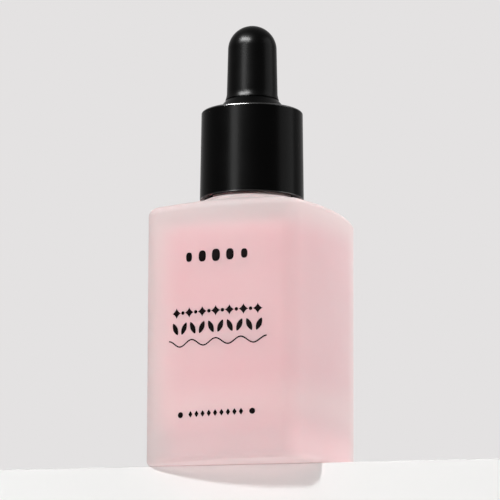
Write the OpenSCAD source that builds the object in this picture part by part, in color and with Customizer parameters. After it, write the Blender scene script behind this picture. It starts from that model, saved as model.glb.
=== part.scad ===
// Square dropper bottle with bowed sides: a thick glass bottle, and a screw-on dropper that lifts out of it.
// The origin is the centre of the base, +Z is up, and the printed front of the bottle faces -Y.

/* [Body] */
// Width of the body, measured across the middle of two bowed sides
body_w = 42; // [39:0.5:46]
// Radius of the four upright corners
corner_r = 5.5; // [4:0.5:8]
// Angle that one bowed side turns through, in degrees
side_turn = 29; // [16:1:34]
// Height of the rounded edge where the sides meet the shoulder
edge_h = 59.5; // [52:0.5:66]
// Radius of that edge
shoulder_r = 1.9; // [1:0.1:3]
// Rise of the shoulder from its edge to the foot of the neck
shoulder_rise = 2.2; // [1:0.1:4]
// Radius of the rounded heel
heel_r = 1.8; // [1:0.1:3]

/* [Glass] */
// Thickness of the side walls
wall = 3; // [2.4:0.1:4]
// Thickness of the base over its bearing ring
base_t = 6; // [4:0.5:8]
// Height that the middle of the base is pushed up by
push_up = 0.8; // [0.4:0.1:1.5]
// Radius of the cavity's upright corners
cavity_corner_r = 4; // [3:0.5:6]

/* [Neck] */
// Radius of the land on top of the shoulder, where the neck stands
land_r = 10.8; // [10.2:0.1:11.4]
// Outer radius of the neck, without its thread
neck_r = 9; // [8.6:0.1:9.2]
// Height of the neck above the land
neck_h = 13.9; // [12:0.1:14.8]
// Radius of the bore through the neck
neck_bore_r = 6.4; // [6:0.1:6.8]

/* [Collar] */
// Gap between the land and the lower rim of the collar
collar_gap = 1.3; // [0.8:0.1:2.5]
// Outer radius of the collar at its lower rim
collar_r = 12; // [11.8:0.1:12.6]
// Outer radius of the collar under its rounded top edge
collar_top_r = 11.72; // [11.6:0.02:11.8]
// Height of the collar
collar_h = 20.8; // [20:0.1:23]
// Radius of the collar's rounded top edge
collar_edge_r = 0.5; // [0.3:0.1:0.8]
// Radius of the bore that the thread is cut into, inside the closure
closure_bore_r = 9.95; // [9.9:0.05:10.2]

/* [Dropper] */
// Radius of the bulb where its straight part meets the dome
bulb_r = 5.65; // [5.3:0.05:5.8]
// Height of the top of the bulb above the top of the collar
bulb_rise = 20.6; // [17:0.1:24]
// Outer radius of the glass pipette
pipette_r = 3.5; // [3.2:0.1:3.6]
// Height of the pipette's tip above the base
pipette_tip_h = 13; // [12:0.5:20]

/* [Hidden] */
$fn = 96;

// Gaps between pieces that move on each other: round fits, and flat faces at rest
running_gap = 0.08;
face_gap = 0.05;
// Extra length of a cut past the face that it opens
past = 1;

// Steps along one bowed side, round one upright corner, and round any other arc
side_steps = 10;
corner_steps = 8;
arc_steps = 6;
// Rings of the shoulder between its edge and the land
shoulder_steps = 4;

// Heights of the stack, from the land up to the top of the bulb
land_z = edge_h + shoulder_rise;
lip_z = land_z + neck_h;
collar_z = land_z + collar_gap;
collar_top_z = collar_z + collar_h;
bulb_top_z = collar_top_z + bulb_rise;

// Shoulder: angle that its edge turns through, and how far it swells above a straight slope
edge_turn = 76;
shoulder_swell = 0.3;

// Cavity: its roof closes in from the walls along a quarter of an ellipse, to a flat round the bore
cavity_w = body_w - 2 * wall;
cavity_floor_r = 0.8 * cavity_corner_r;
cavity_roof_z = edge_h - 9;
cavity_top_z = land_z - 1.6;
cavity_mouth_r = neck_bore_r + 0.8;

// Neck fillet, lip edge, and radius of the push-up
root_fillet_r = 0.8;
lip_round_r = 0.5;
push_up_r = body_w / 2 - heel_r - 4;
push_up_steps = 5;

// Wiper plug in the neck
wiper_wall = 0.8;
wiper_flange_r = 7.9;
wiper_depth = 9;
wiper_wall_r = neck_bore_r - 0.15;
wiper_hole_r = pipette_r + running_gap;
wiper_rib_h = 1;
wiper_rib_heights = [2.4, 5.4];
wiper_top_z = lip_z + wiper_wall;

// Gasket, bulb flange and closure plate, stacked over the flange of the wiper
gasket_t = 1;
gasket_r = 8.6;
gasket_z = wiper_top_z + face_gap;
bulb_z = gasket_z + gasket_t + face_gap;
bulb_flange_t = 1.5;
bulb_flange_r = 8.7;
plate_z = bulb_z + bulb_flange_t + face_gap;
plate_t = 1.4;
plate_top_z = plate_z + plate_t;

// Closure and collar walls; the splines on the skirt key the one into the other
collar_wall = 1.1;
collar_top_t = 1;
collar_rim_chamfer = 0.15;
closure_r = collar_r - collar_wall;
skirt_z = collar_z + 0.6;
turret_wall = 1.3;
spline_count = 36;
spline_w = 0.8;
spline_depth = 0.35;
spline_lead = 1;

// Bulb: its neck through the collar, the coned foot over the hole, a fine groove, and a flare that
// leads up into the wall
bulb_neck_r = 5.92;
foot_z = collar_top_z + 0.1;
foot_r = 8;
foot_rim_h = 0.45;
foot_h = 2.5;
foot_top_r = 6.22;
groove_depth = 0.16;
groove_z = foot_z + foot_h + groove_depth;
flare_h = 1.8;
flare_z = groove_z + groove_depth + flare_h;
wall_foot_r = bulb_r + 0.23;
flare_r = (pow(flare_h, 2) + pow(foot_top_r - wall_foot_r, 2)) / (2 * (foot_top_r - wall_foot_r));
dome_z = bulb_top_z - bulb_r;
bulb_wall = 1.6;
air_r = bulb_r - bulb_wall;
air_z = foot_z + 1.1;

// Pipette: wall, drawn tip, and the stretch of it inside the bulb
pipette_wall = 1;
pipette_top_z = air_z - 0.8;
polish_r = 0.3;
tip_r = 1.5;
tip_bore_r = 0.75;
tip_straight_h = 1.5;
tip_taper_h = 9;

// Points of an arc about c with radius r, from angle a to angle b
function arc(c, r, a, b, steps = arc_steps) =
    [for (i = [0:steps]) let (t = a + (b - a) * i / steps) c + r * [cos(t), sin(t)]];

// Radius of a bowed side that meets corners of radius r at half of its turn
function side_radius(w, r, half) =
    (w / 2 - r * (cos(half) - sin(half))) / (sin(half) + 1 - cos(half));

// A square outline with four bowed sides and four round corners, all tangent, drawn in by inset
function outline(w, r, inset = 0) =
    let (
        half = side_turn / 2,
        big = side_radius(w, r, half),
        side = arc([w / 2 - big, 0], big - inset, -half, half, side_steps),
        corner = arc((big - r) * sin(half) * [1, 1], r - inset, half, 90 - half, corner_steps),
        quarter = concat(side, [for (i = [1:corner_steps - 1]) corner[i]])
    )
    [for (k = [0:3], p = quarter) [
        p.x * cos(90 * k) - p.y * sin(90 * k),
        p.x * sin(90 * k) + p.y * cos(90 * k)
    ]];

// One ring of a loft: the outline at height z, drawn part of the way to a circle
function ring(points, z, circle_r = 0, blend = 0) =
    [for (p = points) let (q = p * (1 - blend) + circle_r * blend * p / norm(p)) [q.x, q.y, z]];

// Rings of a rounded edge of radius r, as insets and heights that turn through the given angle
function edge_rings(w, corner, r, z, way, turn) =
    [for (i = [0:arc_steps - 1]) let (a = turn * i / (arc_steps - 1))
        ring(outline(w, corner, r * (1 - cos(a))), z + way * r * sin(a))];

// A list turned end to end
function reversed(list) = [for (i = [len(list) - 1:-1:0]) list[i]];

// Closed skin through rings with equal numbers of points, lowest ring first
module loft(rings) {
    n = len(rings[0]);
    last = len(rings) - 1;
    polyhedron(
        points = [for (one = rings, p = one) p],
        faces = concat(
            [[for (i = [0:n - 1]) i]],
            [for (k = [0:last - 1], i = [0:n - 1])
                [k * n + i, (k + 1) * n + i, (k + 1) * n + (i + 1) % n, k * n + (i + 1) % n]],
            [[for (i = [n - 1:-1:0]) last * n + i]]
        )
    );
}

// Outer form of the body: heel, bowed walls, rounded edge, and a shoulder that turns round as it
// climbs to the land
module body_form() {
    edge_z = edge_h - shoulder_r;
    shoulder_z = edge_z + shoulder_r * sin(edge_turn);
    shoulder_outline = outline(body_w, corner_r, shoulder_r * (1 - cos(edge_turn)));
    loft(concat(
        reversed(edge_rings(body_w, corner_r, heel_r, heel_r, -1, 90)),
        edge_rings(body_w, corner_r, shoulder_r, edge_z, 1, edge_turn),
        [for (i = [1:shoulder_steps])
            let (t = i / shoulder_steps, climb = t + shoulder_swell * t * (1 - t))
            ring(shoulder_outline, shoulder_z + (land_z - shoulder_z) * climb, land_r, t)]
    ));
}

// Space inside the glass, up to the flat round the bore
module cavity_form() {
    cavity_outline = outline(cavity_w, cavity_corner_r);
    loft(concat(
        reversed(edge_rings(cavity_w, cavity_corner_r, cavity_floor_r, base_t + cavity_floor_r, -1, 90)),
        [for (i = [0:arc_steps]) let (a = 90 * i / arc_steps)
            ring(cavity_outline, cavity_roof_z + (cavity_top_z - cavity_roof_z) * sin(a),
                cavity_mouth_r, 1 - cos(a))]
    ));
}

// Neck: a fillet at its root, a plain wall for the thread, and a rounded lip
module neck_form() {
    rotate_extrude()
        polygon(concat(
            [[0, cavity_top_z - past], [neck_r + root_fillet_r, cavity_top_z - past]],
            arc([neck_r + root_fillet_r, land_z + root_fillet_r], root_fillet_r, 270, 180),
            arc([neck_r - lip_round_r, lip_z - lip_round_r], lip_round_r, 0, 90),
            [[0, lip_z]]
        ));
}

// Shallow dome under the base, so that the bottle stands on a ring round its edge
module push_up_form() {
    rotate_extrude()
        polygon(concat(
            [[0, -past], [push_up_r, -past]],
            [for (i = [push_up_steps:-1:0]) let (t = i / push_up_steps)
                [push_up_r * t, push_up * (1 - t * t)]]
        ));
}

// Glass bottle: the lofted body and its neck, less the cavity, the bore and the push-up
module bottle() {
    color("mistyrose")
        difference() {
            union() {
                body_form();
                neck_form();
            }
            cavity_form();
            translate([0, 0, cavity_top_z - past / 2])
                cylinder(r = neck_bore_r, h = lip_z - cavity_top_z + 2 * past);
            push_up_form();
        }
}

// Soft plug pressed into the bore: a flange on the lip, two sealing ribs, and a cone that leads the
// pipette into the hole that wipes it
module neck_wiper() {
    foot_z = lip_z - wiper_depth;
    inner_r = wiper_wall_r - wiper_wall;
    floor_z = foot_z + wiper_wall;
    color("white")
        rotate_extrude()
            difference() {
                union() {
                    translate([0, foot_z])
                        square([wiper_wall_r, wiper_depth]);
                    translate([0, lip_z])
                        square([wiper_flange_r, wiper_wall]);
                    for (h = wiper_rib_heights)
                        translate([0, foot_z + h])
                            square([neck_bore_r, wiper_rib_h]);
                }
                translate([0, foot_z - past])
                    square([wiper_hole_r, wiper_depth]);
                polygon([
                    [0, floor_z], [wiper_hole_r, floor_z], [inner_r, floor_z + inner_r - wiper_hole_r],
                    [inner_r, wiper_top_z + past], [0, wiper_top_z + past]
                ]);
            }
}

// Flat sealing washer between the lip of the bottle and the flange of the bulb
module gasket() {
    color("gainsboro")
        translate([0, 0, gasket_z])
            difference() {
                cylinder(r = gasket_r, h = gasket_t);
                translate([0, 0, -past])
                    cylinder(r = pipette_r + running_gap, h = gasket_t + 2 * past);
            }
}

// Glass tube drawn down to a narrow tip, with fire-polished ends
module pipette() {
    shank_z = pipette_tip_h + tip_taper_h;
    nozzle_z = pipette_tip_h + tip_straight_h;
    bore_r = pipette_r - pipette_wall;
    color("lightcyan")
        rotate_extrude()
            polygon([
                [tip_bore_r, pipette_tip_h], [tip_r - polish_r, pipette_tip_h],
                [tip_r, pipette_tip_h + polish_r], [tip_r, nozzle_z], [pipette_r, shank_z],
                [pipette_r, pipette_top_z - polish_r], [pipette_r - polish_r, pipette_top_z],
                [bore_r, pipette_top_z], [bore_r, shank_z], [tip_bore_r, nozzle_z]
            ]);
}

// Outer form of the bulb: flange, neck, foot, groove, flare, and a slightly tapered wall with a dome
module bulb_form() {
    polygon(concat(
        [[0, bulb_z], [bulb_flange_r, bulb_z], [bulb_flange_r, bulb_z + bulb_flange_t],
            [bulb_neck_r, bulb_z + bulb_flange_t], [bulb_neck_r, foot_z],
            [foot_r, foot_z], [foot_r, foot_z + foot_rim_h],
            [foot_top_r, foot_z + foot_h], [foot_top_r - groove_depth, groove_z]],
        arc([wall_foot_r + flare_r, flare_z], flare_r, 180 + asin(flare_h / flare_r), 180),
        arc([0, dome_z], bulb_r, 0, 90, 2 * arc_steps)
    ));
}

// Rubber bulb: its outer form, less the hole that grips the pipette and the air space above
module bulb() {
    color([0.09, 0.09, 0.1])
        rotate_extrude()
            difference() {
                bulb_form();
                polygon(concat(
                    [[0, bulb_z - past], [pipette_r, bulb_z - past], [pipette_r, air_z]],
                    arc([0, dome_z], air_r, 0, 90, 2 * arc_steps)
                ));
            }
}

// Inner closure: a skirt bored for the thread, a plate over the lip, and a turret round the neck of
// the bulb. Splines on the skirt key it into the collar.
module inner_closure() {
    hole_r = bulb_neck_r + running_gap;
    turret_top_z = collar_top_z - collar_top_t;
    skirt_r = closure_r - spline_depth;
    color([0.13, 0.13, 0.14])
        difference() {
            union() {
                translate([0, 0, skirt_z])
                    cylinder(r = skirt_r, h = plate_top_z - skirt_z);
                for (k = [0:spline_count - 1])
                    rotate(360 * k / spline_count)
                        translate([closure_r - running_gap - spline_w, -spline_w / 2, skirt_z + spline_lead])
                            cube([spline_w, spline_w, plate_top_z - skirt_z - spline_lead]);
                translate([0, 0, plate_z])
                    cylinder(r = hole_r + turret_wall, h = turret_top_z - plate_z);
            }
            translate([0, 0, skirt_z - past])
                cylinder(r = closure_bore_r, h = plate_z - skirt_z + past);
            translate([0, 0, skirt_z])
                cylinder(r = hole_r, h = collar_h);
        }
}

// Smooth outer shell of the collar, with a slight draft and a rounded top edge
module collar_shell() {
    top_z = collar_top_z;
    rim = collar_rim_chamfer;
    hole_r = bulb_neck_r + 2 * running_gap;
    color([0.07, 0.07, 0.08])
        rotate_extrude()
            polygon(concat(
                [[closure_r, collar_z + rim], [closure_r + rim, collar_z], [collar_r - rim, collar_z],
                    [collar_r, collar_z + rim]],
                arc([collar_top_r - collar_edge_r, top_z - collar_edge_r], collar_edge_r, 0, 90),
                [[hole_r, top_z], [hole_r, top_z - collar_top_t], [closure_r, top_z - collar_top_t]]
            ));
}

bottle();
neck_wiper();
gasket();
pipette();
bulb();
inner_closure();
collar_shell();
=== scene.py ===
"""Looks of a square frosted dropper bottle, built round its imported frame.

Every new piece is a surface worked out on a grid of two parameters: rings that run round the
bottle's axis, stacked along a profile. Sizes are in millimetres until a mesh is made, and heights
come from the frame wherever a node gives them.
"""

import logging
import math
from dataclasses import dataclass, field
from enum import Enum
from typing import Callable, Sequence

import bpy
import numpy as np
from mathutils import Matrix, Vector


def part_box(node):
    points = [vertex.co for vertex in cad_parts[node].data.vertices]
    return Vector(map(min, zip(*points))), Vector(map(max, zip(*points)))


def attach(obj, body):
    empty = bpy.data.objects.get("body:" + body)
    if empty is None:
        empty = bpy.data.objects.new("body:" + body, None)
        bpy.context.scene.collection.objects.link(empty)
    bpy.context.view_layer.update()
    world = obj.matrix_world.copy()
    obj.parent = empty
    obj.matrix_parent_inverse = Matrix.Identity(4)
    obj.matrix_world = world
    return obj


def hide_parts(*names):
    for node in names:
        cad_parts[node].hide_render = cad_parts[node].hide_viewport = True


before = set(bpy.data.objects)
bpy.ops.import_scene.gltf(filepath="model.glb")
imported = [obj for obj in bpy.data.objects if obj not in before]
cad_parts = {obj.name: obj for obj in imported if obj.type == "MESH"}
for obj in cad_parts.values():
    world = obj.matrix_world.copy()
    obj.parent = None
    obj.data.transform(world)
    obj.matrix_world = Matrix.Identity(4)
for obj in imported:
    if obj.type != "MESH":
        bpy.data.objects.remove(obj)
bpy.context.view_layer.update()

MM = 0.001
FULL_TURN = 2 * math.pi
log = logging.getLogger("dropper_bottle")

# A number, or one number for each row of a table
Values = float | np.ndarray
# What an input of a node takes: a value, or the output that feeds it
Feed = float | tuple[float, ...] | bpy.types.NodeSocket

# Thickness of the bulb's flange, which the closure's plate clamps, and the gap left over it
FLANGE_T = 1.5
FACE_GAP = 0.05
# Gap between round pieces that turn on each other
RUNNING_GAP = 0.08
# Distance at which a point still counts as lying on a round wall
TOUCH = 0.02


# Numbers and curves


def linear(hex_colour: str) -> tuple[float, float, float, float]:
    """Turns an sRGB hex colour into linear light.

    A share of full light up to 0.04045 is divided by 12.92. A larger one has 0.055 added, is
    divided by 1.055, and is raised to the power 2.4.

    Args:
        hex_colour: six hex digits, such as "E8BABE".

    Returns:
        Linear red, green and blue, and an alpha of 1.
    """
    shares = np.array([int(hex_colour[i : i + 2], 16) for i in (0, 2, 4)]) / 255
    low = shares / 12.92
    high = ((shares + 0.055) / 1.055) ** 2.4
    return (*np.where(shares <= 0.04045, low, high).tolist(), 1.0)


def smooth_step(x: np.ndarray) -> np.ndarray:
    """Eases from 0 to 1: three times the square of x less twice its cube, with x held to 0..1."""
    held = np.clip(x, 0, 1)
    return held * held * (3 - 2 * held)


def bottom_z(node: str) -> float:
    """Height of a CAD node's lowest point, in millimetres."""
    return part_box(node)[0].z / MM


def top_z(node: str) -> float:
    """Height of a CAD node's highest point, in millimetres."""
    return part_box(node)[1].z / MM


def outer_r(node: str) -> float:
    """Largest radius of a round CAD node, in millimetres."""
    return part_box(node)[1].x / MM


def rounded(
    corners: Sequence[Sequence[float]], closed: bool = False, steps: int = 8
) -> np.ndarray:
    """Runs a profile through corners, and turns each one into an arc of its own radius.

    The arc starts where the radius times the tangent of half the turn is left to the corner, and
    swings about the point one radius to the side. A point is kept a hair off each end of an arc,
    so that the flat beside it shades flat. Points that fall together are merged.

    Args:
        corners: rows of radius, height and fillet, in millimetres.
        closed: whether the last corner joins the first.
        steps: steps along one arc.

    Returns:
        Profile points, as rows of radius and height.
    """
    hair, together = 0.05, 1e-4
    table = np.asarray(corners, float)
    ring = np.concatenate([table[-1:], table, table[:1]]) if closed else table
    before, here, after = ring[:-2, :2], ring[1:-1, :2], ring[2:, :2]
    into = (here - before) / np.linalg.norm(here - before, axis=1, keepdims=True)
    out = (after - here) / np.linalg.norm(after - here, axis=1, keepdims=True)
    turn = np.arctan2(into[:, 0] * out[:, 1] - into[:, 1] * out[:, 0], (into * out).sum(1))
    fillet = ring[1:-1, 2]
    reach = (fillet * np.tan(np.abs(turn) / 2))[:, None]
    start, end = here - into * reach, here + out * reach
    side = np.stack([-into[:, 1], into[:, 0]], -1) * np.sign(turn)[:, None]
    centre = start + side * fillet[:, None]
    arm = (start - centre)[:, None]
    swing = (turn[:, None] * np.linspace(0, 1, steps + 1))[..., None]
    across = np.stack([-arm[..., 1], arm[..., 0]], -1)
    arcs = centre[:, None] + np.cos(swing) * arm + np.sin(swing) * across
    lead_in, lead_out = (start - into * hair)[:, None], (end + out * hair)[:, None]
    points = np.concatenate([lead_in, arcs, lead_out], 1).reshape(-1, 2)
    if not closed:
        points = np.concatenate([table[:1, :2], points, table[-1:, :2]])
    apart = np.linalg.norm(np.diff(points, axis=0), axis=1) > together
    return points[np.concatenate([[True], apart])]


def arc(
    centre: Sequence[float], radius: float, start: float, end: float, steps: int
) -> np.ndarray:
    """Points of an arc: the centre plus the radius times each angle's cosine and sine.

    Args:
        centre: radius and height of the arc's centre, in millimetres.
        radius: radius of the arc.
        start: its first angle in degrees, anticlockwise from straight outwards.
        end: its last angle.
        steps: steps along it.

    Returns:
        Profile points, as rows of radius and height.
    """
    angle = np.radians(np.linspace(start, end, steps + 1))
    return np.asarray(centre, float) + radius * np.stack([np.cos(angle), np.sin(angle)], -1)


def even(profile: np.ndarray, step: float) -> np.ndarray:
    """Adds points along a profile, by straight lines over its arc length.

    Args:
        profile: rows of radius and height.
        step: the furthest that one point may be from the next.

    Returns:
        The profile with the points added, and all of its own kept.
    """
    length = np.concatenate([[0], np.cumsum(np.linalg.norm(np.diff(profile, axis=0), axis=1))])
    wanted = np.unique(np.round(np.concatenate([length, np.arange(0, length[-1], step)]), 5))
    return np.stack([np.interp(wanted, length, profile[:, i]) for i in (0, 1)], -1)


def closed_profile(
    corners: Sequence[Sequence[float]], step: float, steps: int = 8
) -> np.ndarray:
    """Closed profile through rounded corners, with points at even steps.

    Args:
        corners: rows of radius, height and fillet, in millimetres.
        step: the furthest that one point may be from the next.
        steps: steps along one arc.

    Returns:
        Profile points, as rows of radius and height, without the first one again at the end.
    """
    profile = rounded(corners, closed=True, steps=steps)
    return even(np.concatenate([profile, profile[:1]]), step)[:-1]


# Meshes


class Ends(Enum):
    """How the first and last ring of a skin are closed."""

    POLES = "each end comes together at one point"
    LOOP = "the last ring joins the first"


@dataclass(frozen=True)
class Shell:
    """Mesh of one closed skin.

    Attributes:
        vertices: places in millimetres.
        quads: vertex numbers of the four-sided faces.
        fans: vertex numbers of the triangles round the poles, which come after the quads.
        slots: one material number for each face.
    """

    vertices: np.ndarray
    quads: np.ndarray
    fans: np.ndarray
    slots: np.ndarray


@dataclass(frozen=True)
class Skin:
    """Closed surface over rings of points.

    Attributes:
        rings: places by ring, column and coordinate, in millimetres.
        ends: how the first and last ring are closed.
        second: which rings take the second material, or none.
    """

    rings: np.ndarray
    ends: Ends
    second: np.ndarray | None = None

    def shell(self) -> Shell:
        """Works out vertices, faces and material numbers.

        Neighbouring rows and columns span a four-sided face, columns wrap round, and a pole is the
        middle of its end ring, met by a fan of triangles. Faces are turned to enclose a positive
        volume.

        Returns:
            The mesh.
        """
        rings, cols = self.rings.shape[:2]
        poles = self.ends is Ends.POLES
        body = self.rings[1:-1] if poles else self.rings
        count = len(body)
        vertices = body.reshape(-1, 3)
        row, col = np.indices((count - 1 if poles else count, cols)).reshape(2, -1)
        above, right = (row + 1) % count * cols, (col + 1) % cols
        quads = np.stack([row * cols + col, row * cols + right, above + right, above + col], -1)
        fans = np.zeros((0, 3), int)
        ring_of = row
        if poles:
            first, last, base = len(vertices), len(vertices) + 1, (count - 1) * cols
            vertices = np.concatenate([vertices, self.rings[:1].mean(1), self.rings[-1:].mean(1)])
            column = np.arange(cols)
            following = (column + 1) % cols
            low = np.stack([np.full(cols, first), following, column], -1)
            high = np.stack([np.full(cols, last), base + column, base + following], -1)
            fans = np.concatenate([low, high])
            ring_of = np.concatenate([row + 1, np.zeros(cols, int), np.full(cols, rings - 1)])
        slots = np.zeros(len(ring_of), int)
        if self.second is not None:
            slots = self.second[ring_of].astype(int)
        a, b, c, d = (vertices[quads[:, k]] for k in range(4))
        volume = (np.cross(a, b) * c).sum() + (np.cross(a, c) * d).sum()
        if volume < 0:
            quads, fans = quads[:, ::-1], fans[:, ::-1]
        return Shell(vertices, quads, fans, slots)


def make_piece(name: str, skins: Sequence[Skin], crease: float = 35.0) -> bpy.types.Object:
    """Puts one or more skins into one smooth mesh.

    Args:
        name: the piece's name.
        skins: its closed skins, in millimetres.
        crease: the angle in degrees past which an edge shades sharp.

    Returns:
        The new object, at the origin.
    """
    shells = [skin.shell() for skin in skins]
    vertices = np.concatenate([shell.vertices for shell in shells]) * MM
    offsets = np.cumsum([0] + [len(shell.vertices) for shell in shells])
    faces = []
    for shell, offset in zip(shells, offsets):
        faces += (shell.quads + offset).tolist() + (shell.fans + offset).tolist()
    mesh = bpy.data.meshes.new(name)
    mesh.from_pydata(vertices.tolist(), [], faces)
    mesh.polygons.foreach_set("material_index", np.concatenate([shell.slots for shell in shells]))
    mesh.polygons.foreach_set("use_smooth", np.ones(len(faces), bool))
    mesh.set_sharp_from_angle(angle=math.radians(crease))
    mesh.validate()
    piece = bpy.data.objects.new(name, mesh)
    bpy.context.scene.collection.objects.link(piece)
    return piece


def revolve(
    profile: np.ndarray,
    columns: int = 192,
    relief: Callable[[np.ndarray, np.ndarray, np.ndarray], np.ndarray] | None = None,
) -> np.ndarray:
    """Turns a profile about the axis: each point's radius times the cosine and sine of even angles.

    Args:
        profile: rows of radius and height.
        columns: points round one ring.
        relief: what to add to the radius, from the radius, the angle and the height.

    Returns:
        Rings as an array of rows, columns and coordinates.
    """
    angle = np.linspace(0, FULL_TURN, columns, endpoint=False)[None]
    radius = np.repeat(profile[:, :1], columns, 1)
    height = np.repeat(profile[:, 1:], columns, 1)
    if relief is not None:
        radius = radius + relief(radius, np.repeat(angle, len(profile), 0), height)
    return np.stack([radius * np.cos(angle), radius * np.sin(angle), height], -1)


@dataclass(frozen=True)
class Thread:
    """Single right-hand helical ridge, as a relief on a round wall.

    Attributes:
        start_z: height of the ridge's middle at angle 0, where it starts.
        turns: how many turns it makes.
        height: how far its crest stands off the wall.
        crest_w: width of its flat crest.
        root_w: width of its foot on the wall.
        pitch: rise of one turn. A 20-410 neck has 8 turns to the inch.
        run_out: share of a turn over which it dies away at either end.
    """

    start_z: float
    turns: float
    height: float
    crest_w: float
    root_w: float
    pitch: float = 3.175
    run_out: float = 0.12

    def relief(self, angle: np.ndarray, z: np.ndarray) -> np.ndarray:
        """Height of the ridge over the wall.

        The ridge's middle climbs by one pitch a turn. The nearest turn of it is found by rounding,
        and the ridge falls from its crest to the wall by a smooth step across its flank, and runs
        out by another at both ends.

        Args:
            angle: angles on the wall, in radians.
            z: heights on the wall, of the same shape.

        Returns:
            The height of the ridge at each, in millimetres.
        """
        wraps = np.round((z - self.start_z) / self.pitch - angle / FULL_TURN)
        along = angle / FULL_TURN + wraps
        off = np.abs(z - self.start_z - self.pitch * along)
        flank = smooth_step((self.root_w / 2 - off) / ((self.root_w - self.crest_w) / 2))
        ends = smooth_step(np.minimum(along, self.turns - along) / self.run_out)
        return self.height * flank * ends


def neck_thread() -> Thread:
    """The ridge on the bottle's neck, which starts 7.6 mm under the lip."""
    return Thread(top_z("bottle") - 7.6, turns=1.75, height=0.8, crest_w=0.75, root_w=1.9)


@dataclass(frozen=True)
class Outline:
    """Square with four bowed sides and four round corners, all tangent.

    Attributes:
        width: distance across the middles of two sides.
        corner: radius of a corner.
        side_turn: angle that one side turns through, in degrees.
        side_steps: steps along one side.
        corner_steps: steps round one corner.
    """

    width: float
    corner: float
    side_turn: float = 29.0
    side_steps: int = 36
    corner_steps: int = 26

    @property
    def half(self) -> float:
        """Half of the angle that one side turns through, in radians."""
        return math.radians(self.side_turn / 2)

    @property
    def side_radius(self) -> float:
        """Radius of a bowed side that meets the corners at half of its turn."""
        corner_part = self.corner * (math.cos(self.half) - math.sin(self.half))
        return (self.width / 2 - corner_part) / (math.sin(self.half) + 1 - math.cos(self.half))

    def around(self) -> tuple[np.ndarray, np.ndarray]:
        """Goes once round the outline, anticlockwise from the +X side.

        A quarter is a side's arc about its own centre, then a corner's arc about a point on the
        diagonal. The other quarters are that one turned by right angles.

        Returns:
            Points in millimetres and outward normals, each as rows of x and y.
        """
        side = np.linspace(-self.half, self.half, self.side_steps, endpoint=False)
        corner = np.linspace(self.half, math.pi / 2 - self.half, self.corner_steps, endpoint=False)
        angle = np.concatenate([side, corner])
        on_side = np.arange(len(angle)) < self.side_steps
        diagonal = (self.side_radius - self.corner) * math.sin(self.half)
        centre_x = np.where(on_side, self.width / 2 - self.side_radius, diagonal)
        centre_y = np.where(on_side, 0.0, diagonal)
        radius = np.where(on_side, self.side_radius, self.corner)[:, None]
        normal = np.stack([np.cos(angle), np.sin(angle)], -1)
        point = np.stack([centre_x, centre_y], -1) + radius * normal
        quarter = np.arange(4) * math.pi / 2
        turn = np.array([[np.cos(quarter), -np.sin(quarter)], [np.sin(quarter), np.cos(quarter)]])
        points, normals = (
            np.einsum("abk,nb->kna", turn, part).reshape(-1, 2) for part in (point, normal)
        )
        return points, normals

    def loft(self, table: np.ndarray) -> np.ndarray:
        """Stacks rings that change from this outline to a circle and back.

        A ring is the outline drawn in by the inset along its normals. The blend takes it towards a
        circle along each point's own direction, and the scale draws it in about the axis.

        Args:
            table: rows of inset, blend, circle radius, scale and height.

        Returns:
            Rings as an array of rows, columns and coordinates.
        """
        inset, blend, circle, scale, z = table.T[:, :, None]
        point, normal = self.around()
        drawn_in = point[None] - inset[..., None] * normal[None]
        direction = drawn_in / np.linalg.norm(drawn_in, axis=-1, keepdims=True)
        mixed = (1 - blend)[..., None] * drawn_in + (blend * circle)[..., None] * direction
        flat = scale[..., None] * mixed
        return np.concatenate([flat, np.broadcast_to(z[..., None], flat.shape[:2] + (1,))], -1)


def rows(
    inset: Values = 0.0,
    blend: Values = 0.0,
    circle: Values = 0.0,
    scale: Values = 1.0,
    z: Values = 0.0,
) -> np.ndarray:
    """Rows of a loft's table, from numbers and arrays of one length.

    Args:
        inset: how far the outline is drawn in along its normals, in millimetres.
        blend: share by which it becomes a circle.
        circle: radius of that circle.
        scale: how far it is drawn in about the axis, where 1 leaves it as it is.
        z: height.

    Returns:
        One row for each value of the longest.
    """
    given = (inset, blend, circle, scale, z)
    return np.stack(np.broadcast_arrays(*(np.atleast_1d(np.asarray(v, float)) for v in given)), -1)


# Materials

# Strengths that a noise texture mostly stays between
NOISE_LOW, NOISE_HIGH = 0.3, 0.7
# Octaves of the patches and of the grain
PATCH_DETAIL, GRAIN_DETAIL = 3.0, 2.0
# Red light travels a little further than green and blue through milky glass with liquid behind it
MILKY_SPREAD = (1.0, 0.8, 0.8)


def add(
    tree: bpy.types.NodeTree, kind: str, settings: dict[str, str] | None = None, **inputs: Feed
) -> bpy.types.Node:
    """Adds a node, sets its properties, and gives each input a value or a link.

    Args:
        tree: the node tree.
        kind: the node's type name.
        settings: properties of the node itself.
        inputs: what each input takes, by its name with underscores for spaces, or by in_ and its
            number.

    Returns:
        The node.
    """
    node = tree.nodes.new(kind)
    for name, value in (settings or {}).items():
        setattr(node, name, value)
    for name, value in inputs.items():
        key = int(name[3:]) if name.startswith("in_") else name.replace("_", " ")
        if isinstance(value, bpy.types.NodeSocket):
            tree.links.new(value, node.inputs[key])
        else:
            node.inputs[key].default_value = value
    return node


def per_size(size_mm: float) -> float:
    """Texture scale at which one feature is about size_mm across, on coordinates in metres."""
    return 1 / (size_mm * MM)


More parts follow.
